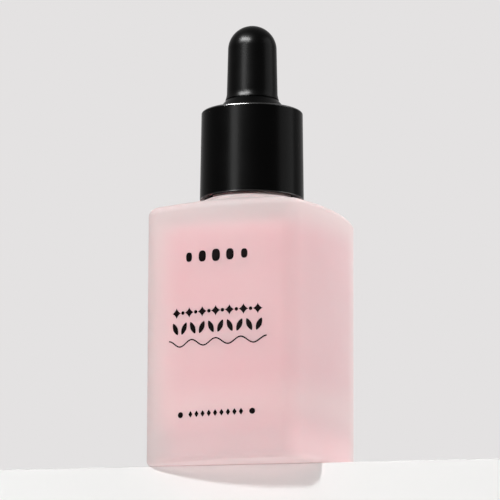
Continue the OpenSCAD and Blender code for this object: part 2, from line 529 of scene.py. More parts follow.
@dataclass(frozen=True)
class Finish:
    """A finish with one Principled shader, patches, and a fine grain.

    Attributes:
        name: name of the material.
        slot: material slot of the part's record, or nothing on the stage; not used.
        colour: sRGB hex colour.
        roughness: middle of the roughness.
        roughness_spread: how far the patches take it up and down.
        grain_mm: size of the grain.
        grain_depth_mm: its depth.
        patch_mm: size of the patches.
        patch_colour: colour of the strongest patches, or none.
        ior: index of refraction.
        specular: strength of the mirror-like shine, where 0.5 is that of the index.
        transmission: share of the light that goes straight through.
        milky: share of the light that wanders under the surface.
        milky_depth_mm: how far it wanders.
    """

    name: str
    slot: str
    colour: str
    roughness: float
    roughness_spread: float = 0.04
    grain_mm: float = 0.4
    grain_depth_mm: float = 0.004
    patch_mm: float = 8.0
    patch_colour: str | None = None
    ior: float = 1.5
    specular: float = 0.5
    transmission: float = 0.0
    milky: float = 0.0
    milky_depth_mm: float = 3.0

    def hue(
        self, tree: bpy.types.NodeTree, place: bpy.types.NodeSocket, patch: bpy.types.NodeSocket
    ) -> Feed:
        """Mixes the two colours by the patches.

        Args:
            tree: the material's node tree.
            place: the object coordinates.
            patch: the strength of the patches.

        Returns:
            The output with the mixed colour, or the one colour where there is no second.
        """
        if not self.patch_colour:
            return linear(self.colour)
        colours = {"in_6": linear(self.colour), "in_7": linear(self.patch_colour)}
        return add(tree, "ShaderNodeMix", {"data_type": "RGBA"}, in_0=patch, **colours).outputs[2]

    def material(self) -> bpy.types.Material:
        """Builds the material, or finds it where it is already built.

        The patches shift the roughness, and the colour where a second one is given. The grain is a
        small bump at a real size.

        Returns:
            The material.
        """
        found = bpy.data.materials.get(self.name)
        if found:
            return found
        made = bpy.data.materials.new(self.name)
        made.use_nodes = True
        tree = made.node_tree
        tree.nodes.clear()
        place = add(tree, "ShaderNodeTexCoord").outputs["Object"]
        patch = add(
            tree, "ShaderNodeTexNoise",
            Vector=place, Scale=per_size(self.patch_mm), Detail=PATCH_DETAIL,
        ).outputs["Fac"]
        roughness = add(
            tree, "ShaderNodeMapRange", Value=patch, From_Min=NOISE_LOW, From_Max=NOISE_HIGH,
            To_Min=self.roughness - self.roughness_spread,
            To_Max=self.roughness + self.roughness_spread,
        ).outputs["Result"]
        grain = add(
            tree, "ShaderNodeTexNoise",
            Vector=place, Scale=per_size(self.grain_mm), Detail=GRAIN_DETAIL,
        ).outputs["Fac"]
        relief = add(
            tree, "ShaderNodeBump",
            Height=grain, Distance=self.grain_depth_mm * MM, Strength=1.0,
        ).outputs["Normal"]
        shader = add(
            tree, "ShaderNodeBsdfPrincipled",
            Base_Color=self.hue(tree, place, patch),
            Roughness=roughness,
            Normal=relief,
            IOR=self.ior,
            Specular_IOR_Level=self.specular,
            Transmission_Weight=self.transmission,
            Subsurface_Weight=self.milky,
            Subsurface_Radius=MILKY_SPREAD,
            Subsurface_Scale=self.milky_depth_mm * MM,
        )
        add(tree, "ShaderNodeOutputMaterial", Surface=shader.outputs["BSDF"])
        return made


@dataclass(frozen=True)
class EtchedGlass(Finish):
    """Frosted wall that blushes where liquid stands close behind it, and is paler elsewhere.

    Some of the paling is painted light. The bare colour at the two upright corners that form the
    outline in the main view paints the glass's edge sheen, and the lighter colour low on the body
    paints light that lifts the shade at the foot. The four ranges run, in millimetres, from where a
    change starts to where it ends.

    Attributes:
        bare_and_sheen_colour: sRGB hex colour of the glass with no liquid close behind it. It is
            also laid on the two outline corners as painted sheen.
        foot_glow_colour: lighter colour of the blush low on the body, painted light that lifts the
            shade at the foot.
        foot_glow_mm: heights over which that painted light gives way to the walls' blush.
        outline_sheen_mm: sizes of x plus y over which the bare colour takes over at the two upright
            corners on the x = y diagonal. These corners form the outline in the main view, so this
            is painted sheen of the glass's edges.
        fill_mm: heights over which the blush ends, at the liquid's level.
        heel_mm: heights over which the blush starts, at the heel.
        pale_band_mm: height of the middle of a paler band low on the walls.
        pale_band_half_mm: half of that band's height.
        pale_band_share: share of the blush that the band takes away.
    """

    bare_and_sheen_colour: str = "DCCBCA"
    foot_glow_colour: str = "EAC9CB"
    foot_glow_mm: tuple[float, float] = (2.5, 11.0)
    outline_sheen_mm: tuple[float, float] = (28.0, 35.8)
    fill_mm: tuple[float, float] = (50.0, 59.0)
    heel_mm: tuple[float, float] = (-2.5, 2.6)
    pale_band_mm: float = 13.0
    pale_band_half_mm: float = 8.0
    pale_band_share: float = 0.5

    def hue(
        self, tree: bpy.types.NodeTree, place: bpy.types.NodeSocket, patch: bpy.types.NodeSocket
    ) -> Feed:
        """Mixes the bare glass with the blush, by where a point of the wall lies.

        The blush is the product of four masks. It fades by a smooth step towards the two upright
        corners on the x = y diagonal, which form the outline in the main view, where the bare
        colour paints the glass's edge sheen. It also fades above the liquid's level, it is weaker
        in a paler band low on the walls, and it starts at the heel. Low on the body it is a lighter
        colour, painted light that lifts the shade at the foot.

        Args:
            tree: the material's node tree.
            place: the object coordinates.
            patch: the strength of the patches.

        Returns:
            The output with the mixed colour.
        """
        eased, rgba = {"interpolation_type": "SMOOTHSTEP"}, {"data_type": "RGBA"}
        height = add(tree, "ShaderNodeSeparateXYZ", Vector=place).outputs["Z"]
        # Painted sheen: the bare colour takes over towards the two corners on the x = y diagonal,
        # which form the outline in the main view
        diagonal = add(
            tree, "ShaderNodeVectorMath", {"operation": "DOT_PRODUCT"}, in_0=place, in_1=(1, 1, 0)
        ).outputs["Value"]
        corner = add(tree, "ShaderNodeMath", {"operation": "ABSOLUTE"}, in_0=diagonal).outputs[0]
        # A paler band low on the walls, centred at pale_band_mm
        over_band = add(
            tree, "ShaderNodeMath", {"operation": "SUBTRACT"}, in_0=height, in_1=self.pale_band_mm * MM
        ).outputs[0]
        off_band = add(
            tree, "ShaderNodeMath", {"operation": "ABSOLUTE"}, in_0=over_band
        ).outputs[0]
        masks = (
            (corner, self.outline_sheen_mm, 1.0, 0.0),
            (height, self.fill_mm, 1.0, 0.0),
            (off_band, (0.0, self.pale_band_half_mm), 1 - self.pale_band_share, 1.0),
            (height, self.heel_mm, 0.0, 1.0),
        )
        share: Feed = 1.0
        for value, (start, end), first, last in masks:
            mask = add(
                tree, "ShaderNodeMapRange", eased, Value=value,
                From_Min=start * MM, From_Max=end * MM, To_Min=first, To_Max=last,
            ).outputs["Result"]
            share = add(
                tree, "ShaderNodeMath", {"operation": "MULTIPLY"}, in_0=share, in_1=mask
            ).outputs[0]
        # Painted light: the blush is lighter low on the body, which lifts the shade at the foot
        start, end = self.foot_glow_mm
        base = add(
            tree, "ShaderNodeMapRange", eased, Value=height,
            From_Min=start * MM, From_Max=end * MM, To_Min=1.0, To_Max=0.0,
        ).outputs["Result"]
        blush = add(
            tree, "ShaderNodeMix", rgba,
            in_0=base, in_6=super().hue(tree, place, patch), in_7=linear(self.foot_glow_colour),
        ).outputs[2]
        return add(
            tree, "ShaderNodeMix", rgba, in_0=share, in_6=linear(self.bare_and_sheen_colour), in_7=blush
        ).outputs[2]


# The grain of an etched, blasted or satin surface is finer than 0.1 mm and wouldn't show, so each
# one below is drawn as coarse as it needs to be to give its surface a slight life.

# Soda-lime glass etched by acid on the outside: milky and matt, and it blurs what is behind it
ETCHED_GLASS = EtchedGlass(
    "etched_soda_lime_glass", "frosted_glass", "D9BFC0", roughness=0.8, grain_mm=0.5,
    grain_depth_mm=0.003, patch_mm=22, patch_colour="D6B4B8", ior=1.52, specular=0.12,
    transmission=0.2, milky=0.5, milky_depth_mm=2.5,
)
# The same glass inside, as it left the mould: clear and wet-looking
MOULDED_GLASS = Finish(
    "moulded_glass_wall", "frosted_glass", "FFFFFF", roughness=0.06, roughness_spread=0.02,
    grain_mm=3, grain_depth_mm=0.004, ior=1.52, transmission=1.0,
)
# Remover tinted pale pink and a little cloudy: it gives the bottle its colour through the glass
PINK_REMOVER = Finish(
    "tinted_remover", "pink_liquid", "FFC0C6", roughness=0.12, roughness_spread=0.02,
    grain_mm=6, grain_depth_mm=0.002, ior=1.37, transmission=0.2,
)
# Borosilicate tube: clear, with bright fire-polished ends
CLEAR_TUBE = Finish(
    "borosilicate_tube", "clear_glass", "F6FBFA", roughness=0.03, roughness_spread=0.01,
    grain_mm=4, grain_depth_mm=0.002, ior=1.47, transmission=1.0,
)
# Black enamel printed through a screen and fired: dense and nearly matt
SCREEN_INK = Finish(
    "fired_screen_ink", "screen_print_ink", "0E0808", roughness=0.4, roughness_spread=0.06,
    grain_mm=0.25, grain_depth_mm=0.002, specular=0.006,
)
# Nitrile rubber moulded in a blasted mould: satin, with broad soft highlights
BULB_RUBBER = Finish(
    "moulded_nitrile_rubber", "bulb_rubber", "020202", roughness=0.28, roughness_spread=0.02,
    grain_mm=0.35, grain_depth_mm=0.001, patch_mm=5, patch_colour="030303", specular=0.027,
)
# Polypropylene shell with a fine satin surface: deep black with one long highlight
SATIN_SHELL = Finish(
    "satin_polypropylene", "collar_satin_black", "020202", roughness=0.25, roughness_spread=0.02,
    grain_mm=0.3, grain_depth_mm=0.0015, patch_mm=9, patch_colour="030303", specular=0.02,
)
# The shell's two edges: a shinier, slightly lighter copy of the satin finish, which paints a thin
# highlight line on the top edge and a grey reflection on the rim
SHINY_EDGE_HIGHLIGHT = Finish(
    "polypropylene_edge_highlight", "collar_satin_black", "040404", roughness=0.22,
    roughness_spread=0.03, grain_mm=0.5, grain_depth_mm=0.0005, patch_mm=3,
    patch_colour="070606", specular=0.36,
)
# Plain moulded polypropylene of the hidden closure: a little greyer and duller
PLAIN_CLOSURE = Finish(
    "moulded_polypropylene", "closure_polypropylene", "191819", roughness=0.5,
    roughness_spread=0.05, grain_mm=0.5, grain_depth_mm=0.004, patch_mm=6,
    patch_colour="211F20", specular=0.35,
)
# Natural polyethylene: milky and waxy
WAXY_POLYETHYLENE = Finish(
    "natural_polyethylene", "wiper_polyethylene", "ECEAE4", roughness=0.45,
    roughness_spread=0.05, grain_mm=0.6, grain_depth_mm=0.004, patch_mm=4,
    patch_colour="F3F1EC", transmission=0.25,
)
# Die-cut polyethylene foam: white, matt, with fine closed cells
FOAM_WASHER = Finish(
    "polyethylene_foam", "gasket_foam", "E9E7E3", roughness=0.8, roughness_spread=0.05,
    grain_mm=0.35, grain_depth_mm=0.03, patch_mm=2, patch_colour="F2F0ED",
)
# Painted block under the bottle: plain, matt and nearly white
PAINTED_BLOCK = Finish(
    "painted_block", "", "F8F8F7", roughness=0.75, roughness_spread=0.05, grain_mm=1.2,
    grain_depth_mm=0.004, patch_mm=40, specular=0.1,
)


def dress(
    piece: bpy.types.Object, body: str, replaced: Sequence[str], *finishes: Finish
) -> bpy.types.Object:
    """Gives a piece its finishes and its body, and hides the CAD nodes that it stands for.

    Args:
        piece: the new object.
        body: the CAD body that it rides on.
        replaced: names of the CAD nodes that it stands for.
        finishes: one for each material number of the mesh.

    Returns:
        The same object.
    """
    for finish in finishes:
        piece.data.materials.append(finish.material())
    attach(piece, body)
    if replaced:
        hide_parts(*replaced)
    log.info("%s: %d faces on body %s", piece.name, len(piece.data.polygons), body)
    return piece


# The bottle and its liquid


@dataclass
class GlassBottle:
    """Bottle of thick glass: bowed body, shoulder, threaded neck, and the cavity inside.

    Attributes:
        corner: radius of the body's upright corners.
        cavity_corner: radius of the cavity's upright corners.
        wall: thickness of the side walls.
        base: thickness of the base.
        heel: radius of the heel.
        push_up: height of the pushed-up middle of the base.
        push_r: its radius.
        edge_z: height of the rounded edge where the sides meet the shoulder.
        edge_radius: radius of that edge.
        edge_turn: angle that it turns through, in degrees.
        land_z: height of the land that the neck stands on.
        land_r: radius of the land.
        swell: how far the shoulder swells above a straight slope, as a share of its rise.
        ring_r: radius of the low ring of glass under the collar.
        ring_top_z: height of its top.
        ring_edge: radius of its edge.
        ring_foot: width of the hollow fillet at its foot.
        ring_foot_fillet: radius of that fillet, a little under its width so that it fits.
        ring_share: share of the shoulder's blend at which the ring starts.
        neck_r: radius of the neck, without its thread.
        root_fillet: radius of the fillet at its foot.
        lip_round: radius of the lip's outer edge.
        mouth_round: radius of the lip's inner edge.
        bore_r: radius of the bore through the neck.
        mouth_r: radius of the flat round the bore, at the top of the cavity.
        roof_z: height where the cavity's roof starts to close in.
        roof_top_z: height where it meets the bore.
        floor_fillet: radius of the fillet between the cavity's walls and its floor.
        wall_from: height of the first of the even rings on the sides.
        edge_margin: plain wall left without rings under the shoulder's edge.
        roof_margin: the same inside, under the cavity's roof.
        hair: distance of the first and last ring of a plain wall from the curves beside it.
        flat_steps: steps from the middle to the edge of a flat or a shoulder.
        turn_steps: steps of a heel or a floor's fillet.
        edge_steps: steps of the shoulder's edge.
        wall_steps: steps of a plain wall.
        roof_steps: steps of the cavity's roof.
        thread_step: step along the neck, fine enough to draw the thread.
        width: distance across the middles of two sides, from the frame.
        lip_z: height of the lip, from the frame.
        outer: outline of the body.
        cavity: outline of the cavity.
    """

    corner: float = 5.5
    cavity_corner: float = 4.0
    wall: float = 3.0
    base: float = 6.0
    heel: float = 1.3
    push_up: float = 0.8
    push_r: float = 10.6
    edge_z: float = 59.5
    edge_radius: float = 1.9
    edge_turn: float = 76.0
    land_z: float = 61.7
    land_r: float = 10.8
    swell: float = 0.3
    ring_r: float = 11.5
    ring_top_z: float = 62.45
    ring_edge: float = 0.22
    ring_foot: float = 0.25
    ring_foot_fillet: float = 0.2475
    ring_share: float = 0.88
    neck_r: float = 9.0
    root_fillet: float = 0.5
    lip_round: float = 0.5
    mouth_round: float = 0.35
    bore_r: float = 6.4
    mouth_r: float = 7.2
    roof_z: float = 50.5
    roof_top_z: float = 60.1
    floor_fillet: float = 3.2
    wall_from: float = 4.0
    edge_margin: float = 2.0
    roof_margin: float = 1.0
    hair: float = 0.1
    flat_steps: int = 12
    turn_steps: int = 10
    edge_steps: int = 11
    wall_steps: int = 11
    roof_steps: int = 24
    thread_step: float = 0.18
    width: float = field(init=False)
    lip_z: float = field(init=False)
    outer: Outline = field(init=False)
    cavity: Outline = field(init=False)

    def __post_init__(self) -> None:
        """Takes the width and the lip's height from the frame, and sets out the two outlines."""
        self.width = 2 * outer_r("bottle")
        self.lip_z = top_z("bottle")
        self.outer = Outline(self.width, self.corner)
        self.cavity = Outline(self.width - 2 * self.wall, self.cavity_corner)

    @property
    def edge_foot(self) -> float:
        """Height where the shoulder's edge leaves the upright side."""
        return self.edge_z - self.edge_radius

    @property
    def shoulder_z(self) -> float:
        """Height where the shoulder's edge ends and the shoulder starts."""
        return self.edge_foot + self.edge_radius * math.sin(math.radians(self.edge_turn))

    def shoulder_height(self, blend: Values) -> Values:
        """Height of the shoulder at a share of its blend: a straight slope plus a slight swell."""
        climb = blend + self.swell * blend * (1 - blend)
        return self.shoulder_z + (self.land_z - self.shoulder_z) * climb

    def body_table(self) -> np.ndarray:
        """Sets out the outside, from the middle of the base to the foot of the collar's ring.

        The push-up is a paraboloid. The heel and the shoulder's edge draw the outline in by a
        radius less its sine or cosine share, and the shoulder blends it towards the land's circle.

        Returns:
            Rows of a loft's table.
        """
        t = np.linspace(0, 1, self.flat_steps + 1)
        quarter = np.radians(np.linspace(0, 90, self.turn_steps + 1))[1:]
        edge = np.radians(np.linspace(0, self.edge_turn, self.edge_steps + 1))
        edge_inset = self.edge_radius * (1 - np.cos(edge))
        blend = t[1:] * self.ring_share
        wall_to = self.edge_foot - self.edge_margin
        plain = np.linspace(self.wall_from, wall_to, self.wall_steps + 1)
        wall_z = np.concatenate([[self.heel + self.hair], plain, [self.edge_foot - self.hair]])
        return np.concatenate([
            rows(blend=1, circle=self.push_r * t, z=self.push_up * (1 - t**2)),
            rows(inset=self.heel, blend=1 - t[1:], circle=self.push_r),
            rows(inset=self.heel * (1 - np.sin(quarter)), z=self.heel * (1 - np.cos(quarter))),
            rows(z=wall_z),
            rows(inset=edge_inset, z=self.edge_foot + self.edge_radius * np.sin(edge)),
            rows(inset=edge_inset[-1], blend=blend, circle=self.land_r,
                 z=self.shoulder_height(blend)),
        ])

    def neck_profile(self) -> np.ndarray:
        """Sets out the neck, from the ring over the lip and down the bore to the cavity's roof.

        Returns:
            Profile points, as rows of radius and height.
        """
        ring_z = self.shoulder_height(self.ring_share)
        corners = [
            (self.ring_r + self.ring_foot, ring_z, 0),
            (self.ring_r, ring_z, self.ring_foot_fillet),
            (self.ring_r, self.ring_top_z, self.ring_edge),
            (self.neck_r, self.ring_top_z, self.root_fillet),
            (self.neck_r, self.lip_z, self.lip_round),
            (self.bore_r, self.lip_z, self.mouth_round),
            (self.bore_r, self.roof_top_z, 0),
        ]
        return even(rounded(corners), self.thread_step)

    def roof_rows(self, angle: np.ndarray, sink: float = 0.0) -> np.ndarray:
        """Rows of the cavity's roof, which closes in along a quarter of an ellipse.

        Args:
            angle: angles on the ellipse in radians, from 0 at the walls to a right angle.
            sink: how far outside the cavity's surface the rows lie.

        Returns:
            Rows of a loft's table.
        """
        rise = (self.roof_top_z - self.roof_z) * np.sin(angle)
        return rows(
            inset=-sink, blend=1 - np.cos(angle), circle=self.mouth_r, z=self.roof_z + rise
        )

    def floor_rows(self, angle: np.ndarray, sink: float = 0.0) -> np.ndarray:
        """Rows of the fillet between the cavity's walls and its floor, which draws the outline in.

        Args:
            angle: angles on the fillet in radians, from 0 at the walls to a right angle.
            sink: how far outside the cavity's surface the rows lie.

        Returns:
            Rows of a loft's table.
        """
        return rows(
            inset=self.floor_fillet * (1 - np.cos(angle)) - sink,
            z=self.base - sink + self.floor_fillet * (1 - np.sin(angle)),
        )

    def cavity_table(self) -> np.ndarray:
        """Sets out the inside, from the flat round the bore down to the middle of the floor.

        Returns:
            Rows of a loft's table.
        """
        roof = np.radians(np.linspace(90, 0, self.roof_steps + 1))
        floor = np.radians(np.linspace(0, 90, self.turn_steps + 1))
        t = np.linspace(1, 0, self.flat_steps + 1)[1:]
        wall_foot = self.base + self.floor_fillet + self.hair
        return np.concatenate([
            self.roof_rows(roof),
            rows(z=np.linspace(self.roof_z - self.roof_margin, wall_foot, self.wall_steps + 1)),
            self.floor_rows(floor),
            rows(inset=self.floor_fillet, scale=t, z=self.base),
        ])

    def build(self) -> None:
        """Joins body, neck and cavity into one closed skin. The inside takes the clear finish."""
        body = self.outer.loft(self.body_table())
        profile = self.neck_profile()
        neck = self.outer.loft(rows(blend=1, circle=profile[:, 0], z=profile[:, 1]))
        angle = np.arctan2(neck[..., 1], neck[..., 0]) % FULL_TURN
        radius = np.linalg.norm(neck[..., :2], axis=-1)
        on_wall = np.abs(radius - self.neck_r) < TOUCH / 2
        ridge = np.where(on_wall, neck_thread().relief(angle, neck[..., 2]), 0)
        neck[..., :2] *= (1 + ridge / radius)[..., None]
        rings = np.concatenate([body, neck, self.cavity.loft(self.cavity_table())])
        inside = len(body) + int(np.argmax(profile[:, 0] < self.bore_r + TOUCH / 2))
        skin = Skin(rings, Ends.POLES, np.arange(len(rings)) >= inside)
        dress(make_piece("bottle_glass", [skin]), "bottle", ["bottle"], ETCHED_GLASS, MOULDED_GLASS)


@dataclass
class Remover:
    """Liquid in the bottle, up to its fill line.

    Attributes:
        bottle: the bottle that holds it.
        fill_z: height where its surface meets the glass.
        sink: how far it reaches into the glass, so that no air lies between.
        meniscus_h: how far its surface climbs at the glass.
        meniscus_reach: distance over which that climb falls to about a third.
        fine_to: share of the way in over the surface where its fine steps end.
        coarse_from: share where its coarse steps start.
        roof_margin: plain wall left without rings under the roof.
        wall_steps: steps up the walls.
        roof_steps: steps up the part of the roof that is wet.
        surface_steps: fine steps, and coarse steps, over the surface.
    """

    bottle: GlassBottle
    fill_z: float = 54.5
    sink: float = 0.05
    meniscus_h: float = 0.7
    meniscus_reach: float = 1.1
    fine_to: float = 0.15
    coarse_from: float = 0.2
    roof_margin: float = 0.5
    wall_steps: int = 9
    roof_steps: int = 7
    surface_steps: int = 11

    def table(self) -> np.ndarray:
        """Sets out the liquid, from the middle of the floor up the walls and in over its surface.

        The surface climbs at the wall as a meniscus, which falls off exponentially with distance.

        Returns:
            Rows of a loft's table.
        """
        glass = self.bottle
        floor = np.radians(np.linspace(90, 0, glass.turn_steps + 1))[1:]
        t = np.linspace(0, 1, glass.flat_steps + 1)
        full = math.asin((self.fill_z - glass.roof_z) / (glass.roof_top_z - glass.roof_z))
        bed = glass.base - self.sink
        wall_foot = bed + glass.floor_fillet + glass.hair
        wall_z = np.linspace(wall_foot, glass.roof_z - self.roof_margin, self.wall_steps + 1)
        fine = np.linspace(0, self.fine_to, self.surface_steps + 1)[1:]
        coarse = np.linspace(self.coarse_from, 1, self.surface_steps + 1)
        scale = 1 - np.concatenate([fine, coarse])
        from_glass = (1 - scale) * glass.width / 2
        meniscus = self.meniscus_h * np.exp(-from_glass / self.meniscus_reach)
        return np.concatenate([
            rows(inset=glass.floor_fillet, scale=t, z=bed),
            glass.floor_rows(floor, self.sink),
            rows(inset=-self.sink, z=wall_z),
            glass.roof_rows(np.linspace(0, full, self.roof_steps + 1), self.sink),
            rows(inset=-self.sink, blend=1 - math.cos(full), circle=glass.mouth_r, scale=scale,
                 z=self.fill_z - self.meniscus_h + meniscus),
        ])

    def build(self) -> None:
        """Builds and dresses the liquid."""
        skin = Skin(self.bottle.cavity.loft(self.table()), Ends.POLES)
        dress(make_piece("remover_liquid", [skin]), "bottle", [], PINK_REMOVER)


# The print


@dataclass(frozen=True)
class Motif:
    """Printed shape whose edge follows a superellipse, turned by a tilt.

    A power of 2 gives an oval, 1 a lozenge, under 1 a four-pointed star, and over 2 a rounded
    block.

    Attributes:
        half_w: half of its width.
        half_h: half of its height.
        power: power of the superellipse.
        tilt: turn anticlockwise, in degrees.
        points: points round its edge.
    """

    half_w: float
    half_h: float
    power: float = 2.0
    tilt: float = 0.0
    points: int = 72

    def edge(self) -> np.ndarray:
        """Goes once round the edge.

        The radius at an angle is the sum of the cosine's and the sine's shares, each over its half
        size and raised to the power, to the minus one over that power.

        Returns:
            Points as rows of across and up, in millimetres from the middle.
        """
        angle = np.linspace(0, FULL_TURN, self.points, endpoint=False)
        shares = (np.abs(np.cos(angle)) / self.half_w) ** self.power
        shares = shares + (np.abs(np.sin(angle)) / self.half_h) ** self.power
        radius = shares ** (-1 / self.power)
        turned = angle + math.radians(self.tilt)
        return radius[:, None] * np.stack([np.cos(turned), np.sin(turned)], -1)


@dataclass(frozen=True)
class InkLayer:
    """Layer of ink wrapped onto the bowed front of the bottle.

    Attributes:
        outline: the bottle's outline.
        proud: how far the ink stands off the glass.
        sunk: how far it reaches into the glass.
        centre: how far right of the front's middle the print stands.
    """

    outline: Outline
    proud: float = 0.03
    sunk: float = 0.02
    centre: float = 0.3

    @property
    def levels(self) -> np.ndarray:
        """Distances off the glass of the four layers of a thin skin: two inside, two outside."""
        return np.array([-self.sunk, -self.sunk, self.proud, self.proud])

    def wrap(self, across: np.ndarray, up: np.ndarray, out: np.ndarray) -> np.ndarray:
        """Wraps flat places onto the front, along the arc of the side and out along its normal.

        Args:
            across: distances along the arc from the middle of the print.
            up: heights.
            out: distances off the glass.

        Returns:
            Places in millimetres, with the coordinates last.
        """
        radius = self.outline.side_radius
        angle = (across + self.centre) / radius
        x = (radius + out) * np.sin(angle)
        y = radius - self.outline.width / 2 - (radius + out) * np.cos(angle)
        return np.stack([x, y, up], -1)


@dataclass(frozen=True)
class MotifRow:
    """Motifs spread evenly over a span, at one height.

    Attributes:
        name: name of the piece.
        up: height of the motifs' middles.
        span: distance between the middles of the first and the last.
        motifs: the motifs, from left to right.
    """

    name: str
    up: float
    span: float
    motifs: tuple[Motif, ...]

    def skins(self, layer: InkLayer) -> list[Skin]:
        """Makes each motif a thin closed skin: middle, edge, edge above, middle above.

        Args:
            layer: the layer of ink.

        Returns:
            One skin for each motif.
        """
        share = np.array([0, 1, 1, 0])[:, None]
        out = layer.levels[:, None]
        places = np.linspace(-self.span / 2, self.span / 2, len(self.motifs))
        made = []
        for motif, place in zip(self.motifs, places):
            across, up = motif.edge().T
            rings = layer.wrap(place + share * across, self.up + share * up, out)
            made.append(Skin(rings, Ends.POLES))
        return made


@dataclass(frozen=True)
class WavyLine:
    """Wavy line with a crest at both ends.

    Attributes:
        name: name of the piece.
        up: height of its middle.
        span: its length across.
        waves: how many waves it has.
        height: height of a crest over the middle.
        line: width of the line.
        steps: steps along it.
    """

    name: str
    up: float
    span: float
    waves: int
    height: float
    line: float
    steps: int = 320

    def skins(self, layer: InkLayer) -> list[Skin]:
        """Makes the line a thin closed strip: a cosine along the front.

        The strip's corners lie half a line to each side along the cosine's normal.

        Args:
            layer: the layer of ink.

        Returns:
            One skin.
        """
        along = np.linspace(-self.span / 2, self.span / 2, self.steps + 1)
        period = self.span / self.waves
        phase = FULL_TURN * (along + self.span / 2) / period
        slope = -self.height * FULL_TURN / period * np.sin(phase)
        normal = np.stack([-slope, np.ones_like(slope)], -1) / np.hypot(slope, 1)[:, None]
        side = np.array([-1, 1, 1, -1]) * self.line / 2
        across = along[:, None] + normal[:, :1] * side
        up = self.up + (self.height * np.cos(phase))[:, None] + normal[:, 1:] * side
        rings = layer.wrap(across, up, layer.levels)
        start, end = (
            ring.mean(1, keepdims=True).repeat(len(side), 1) for ring in (rings[:1], rings[-1:])
        )
        return [Skin(np.concatenate([start, rings, end]), Ends.POLES)]


STAR, BEAD = Motif(1.15, 1.2, power=0.75), Motif(0.42, 0.42)
LEAVES = Motif(0.62, 1.5, power=1.5, tilt=24), Motif(0.62, 1.5, power=1.5, tilt=-24)


@dataclass
class FrontPrint:
    """Generic ornament printed on the bowed front.

    Attributes:
        layer: the layer of ink.
        lines: the print's lines, from the top down.
    """

    layer: InkLayer
    lines: tuple[MotifRow | WavyLine, ...] = (
        MotifRow("print_nails", 46.6, 13.6,
                 tuple(Motif(0.95 * k, 1.35 * k, power=2.6) for k in (0.8, 0.95, 1.05, 0.95, 0.8))),
        MotifRow("print_stars", 33.9, 20.0, (STAR, BEAD) * 6 + (STAR,)),
        MotifRow("print_leaves", 30.3, 20.6, LEAVES * 5),
        WavyLine("print_wave", 26.9, 24.1, waves=4, height=0.73, line=0.3),
        MotifRow("print_lozenges", 10.6, 12.4, (Motif(0.5, 0.75, power=1.1),) * 9),
        MotifRow("print_dots", 10.6, 17.6, (Motif(0.68, 0.68),) * 2),
    )

    def build(self) -> None:
        """Prints every line and dresses it with ink."""
        for line in self.lines:
            dress(make_piece(line.name, line.skins(self.layer)), "bottle", [], SCREEN_INK)


# The dropper


@dataclass
class Bulb:
    """Rubber bulb, with a flange that is clamped under the closure's plate.

    Attributes:
        radius: radius where the straight part meets the dome.
        wall_foot_r: radius at the foot of the straight part.
        wall: thickness of the rubber.
        foot_r: radius of the coned foot that covers the hole in the collar.
        foot_rim: height of the foot's upright rim.
        foot_h: height of the foot.
        foot_top_r: radius of the top of the foot.
        foot_lift: gap between the foot and the collar.
        flare_h: height of the flare over the groove.
        groove_depth: depth of the groove between the foot and the flare.
        neck_r: radius where the bulb passes the collar.
        grip_r: radius of the bore that grips the pipette.
        grip_h: height over the foot where the bore starts to open.
        flare_steps: steps of the flare.
        air_steps: steps of the air space's dome.
        dome_steps: steps of the dome.
        step: the furthest that one ring may be from the next.
    """

    radius: float = 5.65
    wall_foot_r: float = 5.88
    wall: float = 1.6
    foot_r: float = 8.0
    foot_rim: float = 0.45
    foot_h: float = 2.5
    foot_top_r: float = 6.22
    foot_lift: float = 0.1
    flare_h: float = 1.8
    groove_depth: float = 0.16
    neck_r: float = 5.92
    grip_r: float = 3.5
    grip_h: float = 1.1
    flare_steps: int = 14
    air_steps: int = 24
    dome_steps: int = 32
    step: float = 0.6

    def flare(self, foot_z: float) -> np.ndarray:
        """Arc over the groove, which is upright at its top.

        Its radius is the sum of the squares of its height and its spread, over twice the spread.

        Args:
            foot_z: height of its lower end.

        Returns:
            Profile points, as rows of radius and height.
        """
        spread = self.foot_top_r - self.wall_foot_r
        radius = (self.flare_h**2 + spread**2) / (2 * spread)
        turn = math.degrees(math.asin(self.flare_h / radius))
        top_z = foot_z + self.flare_h
        centre = (self.wall_foot_r + radius, top_z)
        return arc(centre, radius, 180 + turn, 180, self.flare_steps)

    def profile(self) -> np.ndarray:
        """Sets out the bulb, from the air space down, round the flange, and up over the dome.

        Returns:
            Profile points, as rows of radius and height.
        """
        low, flange_r = bottom_z("bulb"), outer_r("bulb")
        flange_z = low + FLANGE_T
        foot_z = top_z("collar_shell") + self.foot_lift
        dome_z = top_z("bulb") - self.radius
        air_r = self.radius - self.wall
        groove_z = foot_z + self.foot_h + self.groove_depth
        flare = self.flare(groove_z + self.groove_depth)
        corners = [
            (air_r, dome_z, 0),
            (self.grip_r, foot_z + self.grip_h, 0.3),
            (self.grip_r, low, 0.1),
            (flange_r, low, 0.25),
            (flange_r, flange_z, 0.25),
            (self.neck_r, flange_z, 0.1),
            (self.neck_r, foot_z, 0.05),
            (self.foot_r, foot_z, 0.1),
            (self.foot_r, foot_z + self.foot_rim, 0.2),
            (self.foot_top_r, foot_z + self.foot_h, 0.07),
            (self.foot_top_r - self.groove_depth, groove_z, 0.05),
            (*flare[0], 0.1),
            (*flare[1], 0),
        ]
        air = arc((0, dome_z), air_r, 90, 0, self.air_steps)
        dome = arc((0, dome_z), self.radius, 0, 90, self.dome_steps)
        return even(np.concatenate([air, rounded(corners)[1:], flare[2:], dome]), self.step)

    def build(self) -> None:
        """Builds and dresses the bulb."""
        piece = make_piece("bulb_rubber", [Skin(revolve(self.profile()), Ends.POLES)])
        dress(piece, "dropper", ["bulb"], BULB_RUBBER)


